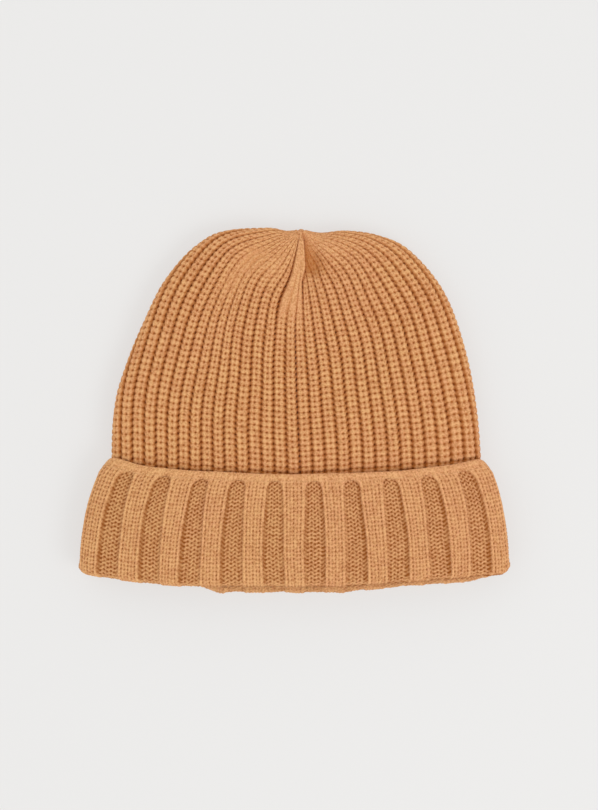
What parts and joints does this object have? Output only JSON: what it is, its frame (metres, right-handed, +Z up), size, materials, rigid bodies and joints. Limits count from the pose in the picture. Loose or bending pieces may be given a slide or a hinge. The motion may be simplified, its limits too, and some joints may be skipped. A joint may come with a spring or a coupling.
{
  "type": "knitted beanie",
  "caption": "Ribbed knitted beanie lying flat, with a domed crown drawn in to a point and a wide turned-up cuff around the head opening.",
  "frame": {"origin": "middle of the flat-lying hat's footprint, on the surface it lies on", "axes": "+X across the hat's width, +Y from the cuff to the tip of the crown, +Z up off the surface"},
  "size_m": [0.24, 0.2026, 0.027],
  "materials": {
    "crown_rib_knit": "chunky half-cardigan rib in camel acrylic and wool yarn, matt, slightly fuzzy",
    "cuff_rib_knit": "wide flat rib in the same camel yarn, matt",
    "linking_yarn": "chain of matching camel yarn, matt",
    "label_satin": "plain off-white woven satin",
    "label_thread": "off-white sewing thread"
  },
  "bodies": {
    "root": {"crown_front_left": "crown_rib_knit", "crown_front_right": "crown_rib_knit", "crown_back_left": "crown_rib_knit", "crown_back_right": "crown_rib_knit", "tip_gather": "linking_yarn", "start_edge_front": "cuff_rib_knit", "start_edge_back": "cuff_rib_knit", "turn_up_front": "cuff_rib_knit", "turn_up_back": "cuff_rib_knit", "inner_band_front": "cuff_rib_knit", "inner_band_back": "cuff_rib_knit", "front_dart_seam": "linking_yarn", "left_dart_seam": "linking_yarn", "right_dart_seam": "linking_yarn", "back_seam": "linking_yarn", "care_label": "label_satin", "label_stitch": "label_thread"}
  },
  "joints": []
}
